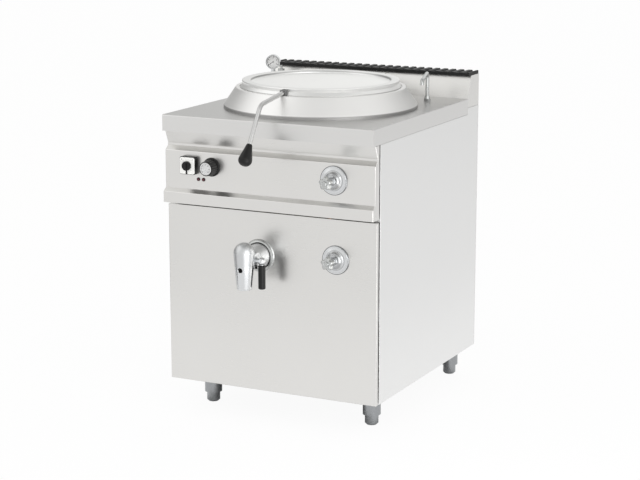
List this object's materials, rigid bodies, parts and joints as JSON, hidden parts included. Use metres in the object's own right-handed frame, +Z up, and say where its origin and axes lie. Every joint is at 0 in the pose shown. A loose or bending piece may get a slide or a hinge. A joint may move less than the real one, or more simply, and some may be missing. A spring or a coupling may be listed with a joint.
{
  "type": "boiling pan",
  "caption": "Free-standing electric boiling pan: steel cabinet with a round jacketed pan, hinged lid with long handle, filler, gauge, valves and drain tap.",
  "frame": {"origin": "middle of the part's outline, on the floor", "axes": "+X to the right seen from the front, +Y to the back, +Z up"},
  "size_m": [0.64, 0.8818, 0.955],
  "materials": {
    "satin_steel": "satin, fine brushing",
    "frame_steel": "satin grey",
    "leg_steel": "satin",
    "chrome": "polished",
    "grille_iron": "black enamel",
    "bracket_iron": "satin black",
    "black_plastic": "satin black",
    "white_plastic": "satin white",
    "grey_plastic": "satin grey",
    "pointer_paint": "matt black",
    "lamp_red": "translucent red",
    "copper": "drawn tube",
    "gauge_glass": "clear",
    "seal_rubber": "matt",
    "wool": "mineral wool"
  },
  "bodies": {
    "cabinet": {"worktop": "satin_steel", "upstand": "satin_steel", "flue_grille": "grille_iron", "control_panel": "satin_steel", "front_panel": "satin_steel", "side_panel_left": "satin_steel", "side_panel_right": "satin_steel", "back_panel": "satin_steel", "base_tray": "satin_steel", "frame": "frame_steel", "pan_vessel": "satin_steel", "jacket": "satin_steel", "insulation": "wool", "pan_collar": "satin_steel", "heating_elements": "copper", "drain_pipe": "satin_steel", "tap_flange": "chrome", "tap_body": "chrome", "switch_box": "black_plastic", "switch_plate": "white_plastic", "switch_block": "grey_plastic", "regulator_block": "grey_plastic", "pilot_lamps": "lamp_red", "valve_rosettes": "chrome", "valve_bodies": "chrome", "water_pipes": "copper", "filler_base": "chrome", "gauge_pipe": "chrome", "gauge_case": "chrome", "gauge_dial": "white_plastic", "gauge_glass": "gauge_glass", "safety_valve": "chrome", "hinge_pin": "chrome", "hinge_brackets": "chrome", "legs": "leg_steel", "terminal_block": "white_plastic", "cable_gland": "black_plastic"},
    "lid": {"lid_shell": "satin_steel", "lid_liner": "satin_steel", "lid_gasket": "seal_rubber", "lid_bracket": "bracket_iron", "lid_handle": "chrome", "lid_grip": "black_plastic", "lid_hinge": "chrome"},
    "switch": {"switch_knob": "black_plastic"},
    "regulator": {"regulator_knob": "black_plastic", "regulator_disc": "chrome"},
    "upper_valve": {"upper_valve_knob": "chrome"},
    "lower_valve": {"lower_valve_knob": "chrome"},
    "drain_lever": {"tap_plug": "chrome", "tap_lever": "chrome", "tap_grip": "black_plastic"},
    "filler": {"filler_spout": "chrome"},
    "pressure_pointer": {"gauge_pointer": "pointer_paint"},
    "strainer": {"drain_strainer": "chrome"},
    "front_left_foot": {"foot_front_left": "leg_steel"},
    "front_right_foot": {"foot_front_right": "leg_steel"},
    "back_left_foot": {"foot_back_left": "leg_steel"},
    "back_right_foot": {"foot_back_right": "leg_steel"}
  },
  "joints": [
    {"name": "lid_hinge", "type": "hinge", "parent": "cabinet", "child": "lid", "pos_m": [0, 0.28844, 0.911], "axis": [-1, 0, 0], "range_deg": [0, 85]},
    {"name": "switch_turn", "type": "hinge", "parent": "cabinet", "child": "switch", "pos_m": [-0.2415, -0.29706, 0.713], "axis": [0, 1, 0], "range_deg": [0, 90]},
    {"name": "regulator_turn", "type": "hinge", "parent": "cabinet", "child": "regulator", "pos_m": [-0.173, -0.29706, 0.713], "axis": [0, 1, 0], "range_deg": [0, 270]},
    {"name": "upper_valve_turn", "type": "hinge", "parent": "cabinet", "child": "upper_valve", "pos_m": [0.199, -0.29706, 0.705], "axis": [0, -1, 0], "range_deg": [0, 360]},
    {"name": "lower_valve_turn", "type": "hinge", "parent": "cabinet", "child": "lower_valve", "pos_m": [0.199, -0.28506, 0.486], "axis": [0, -1, 0], "range_deg": [0, 360]},
    {"name": "drain_lever_turn", "type": "hinge", "parent": "cabinet", "child": "drain_lever", "pos_m": [-0.033, -0.34706, 0.476], "axis": [-1, 0, 0], "range_deg": [0, 90]},
    {"name": "filler_swivel", "type": "hinge", "parent": "cabinet", "child": "filler", "pos_m": [0.2294, 0.25594, 0.85], "axis": [0, 0, 1], "range_deg": [-20, 105]},
    {"name": "pointer_turn", "type": "hinge", "parent": "cabinet", "child": "pressure_pointer", "pos_m": [-0.29, 0.28894, 0.933], "axis": [-0.309, 0.9511, 0], "range_deg": [0, 250]},
    {"name": "strainer_lift", "type": "slide", "parent": "cabinet", "child": "strainer", "axis": [0, 0, 1], "range_m": [0, 0.3]},
    {"name": "front_left_foot_screw", "type": "slide", "parent": "cabinet", "child": "front_left_foot", "axis": [0, 0, -1], "range_m": [0, 0.03]},
    {"name": "front_right_foot_screw", "type": "slide", "parent": "cabinet", "child": "front_right_foot", "axis": [0, 0, -1], "range_m": [0, 0.03]},
    {"name": "back_left_foot_screw", "type": "slide", "parent": "cabinet", "child": "back_left_foot", "axis": [0, 0, -1], "range_m": [0, 0.03]},
    {"name": "back_right_foot_screw", "type": "slide", "parent": "cabinet", "child": "back_right_foot", "axis": [0, 0, -1], "range_m": [0, 0.03]}
  ]
}
